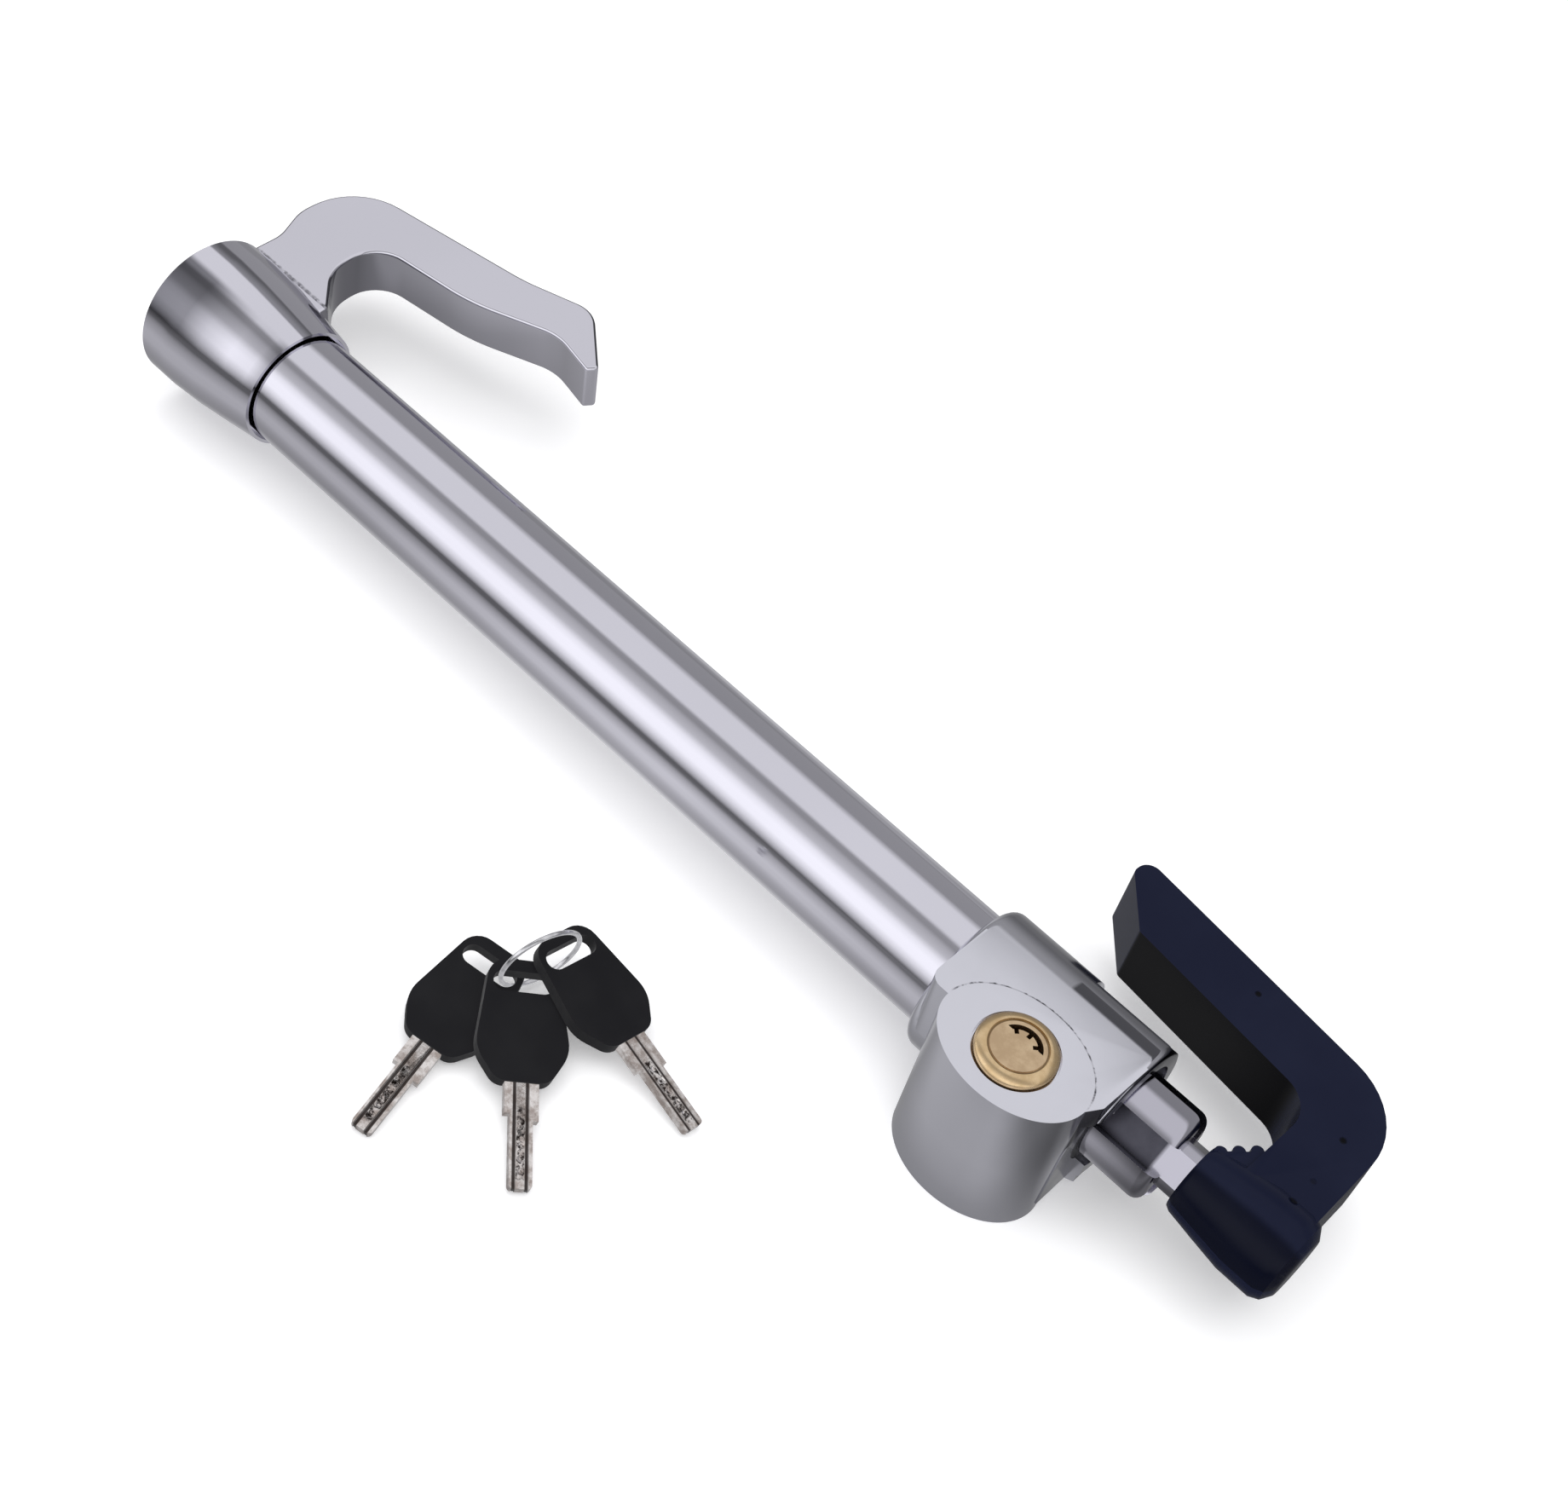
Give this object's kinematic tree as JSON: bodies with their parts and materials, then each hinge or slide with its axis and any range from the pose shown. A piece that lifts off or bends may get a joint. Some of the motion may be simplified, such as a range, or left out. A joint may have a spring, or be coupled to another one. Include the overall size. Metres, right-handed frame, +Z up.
{
  "type": "steering wheel lock",
  "caption": "Telescoping bar with two facing hooks, a fluted locking rod and a keyed lock head that clamps a steering wheel; keys lie beside it.",
  "frame": {"origin": "on the outer tube's axis, half way along its bare length", "axes": "+X along the bar from the wheel hook's cap to the black hook, +Y to the side that both hooks open along, +Z up out of the key face"},
  "size_m": [0.3888, 0.2009, 0.047],
  "materials": {
    "chrome": "bright chrome plate",
    "satin_chrome": "satin chrome over die-cast zinc",
    "rod_chrome": "chrome plate, dark in the flutes",
    "brass": "turned brass",
    "plug_brass": "faced brass, lightly stained",
    "black_plastic": "glossy navy-black moulded plastic",
    "key_plastic": "fine-textured black plastic",
    "nickel": "nickel silver, milled",
    "ring_steel": "bright wire",
    "bright_steel": "ground steel",
    "hard_steel": "hardened steel, dark",
    "black_steel": "blackened steel",
    "nylon": "natural nylon",
    "black_nylon": "black nylon",
    "rubber": "black rubber"
  },
  "bodies": {
    "barrel": {"outer_tube": "chrome", "end_cap": "chrome", "cap_screw": "black_steel", "wheel_hook": "chrome", "tube_buffer": "rubber", "guide_sleeve": "nylon", "lock_head": "satin_chrome", "head_screws": "black_steel", "front_bush": "black_nylon", "cylinder_body": "brass", "cylinder_screw": "black_steel", "plug_retaining_pin": "bright_steel", "driver_pins": "bright_steel", "pin_springs": "bright_steel"},
    "plug": {"cylinder_plug": "plug_brass", "locking_cam": "hard_steel", "cam_dowels": "bright_steel", "key_pins": "plug_brass"},
    "rod": {"inner_rod": "rod_chrome", "rod_guide_ring": "nylon", "rod_end_washer": "bright_steel", "rod_end_screw": "black_steel", "hook_core": "hard_steel", "hook_pin": "bright_steel", "hook_cover": "black_plastic"},
    "ring": {"key_ring": "ring_steel"},
    "key_a": {"key_blade_1": "nickel", "key_head_1": "key_plastic"},
    "key_b": {"key_blade_2": "nickel", "key_head_2": "key_plastic"},
    "key_c": {"key_blade_3": "nickel", "key_head_3": "key_plastic"}
  },
  "joints": [
    {"name": "rod_slide", "type": "slide", "parent": "barrel", "child": "rod", "axis": [1, 0, 0], "range_m": [0, 0.18]},
    {"name": "plug_turn", "type": "hinge", "parent": "barrel", "child": "plug", "pos_m": [0.1479, -0.02, 0], "axis": [0, 0, 1], "range_deg": [0, 90]},
    {"name": "keys_lift", "type": "slide", "parent": "barrel", "child": "ring", "axis": [0, 0, 1], "range_m": [0, 0.08]},
    {"name": "key_a_swing", "type": "hinge", "parent": "ring", "child": "key_a", "pos_m": [0.04215, -0.07553, -0.02], "axis": [0, 0, 1], "range_deg": [-4, 4]},
    {"name": "key_b_swing", "type": "hinge", "parent": "ring", "child": "key_b", "pos_m": [0.05161, -0.07394, -0.02], "axis": [0, 0, 1], "range_deg": [-4, 4]},
    {"name": "key_c_swing", "type": "hinge", "parent": "ring", "child": "key_c", "pos_m": [0.05347, -0.0614, -0.02], "axis": [0, 0, 1], "range_deg": [-4, 4]}
  ]
}
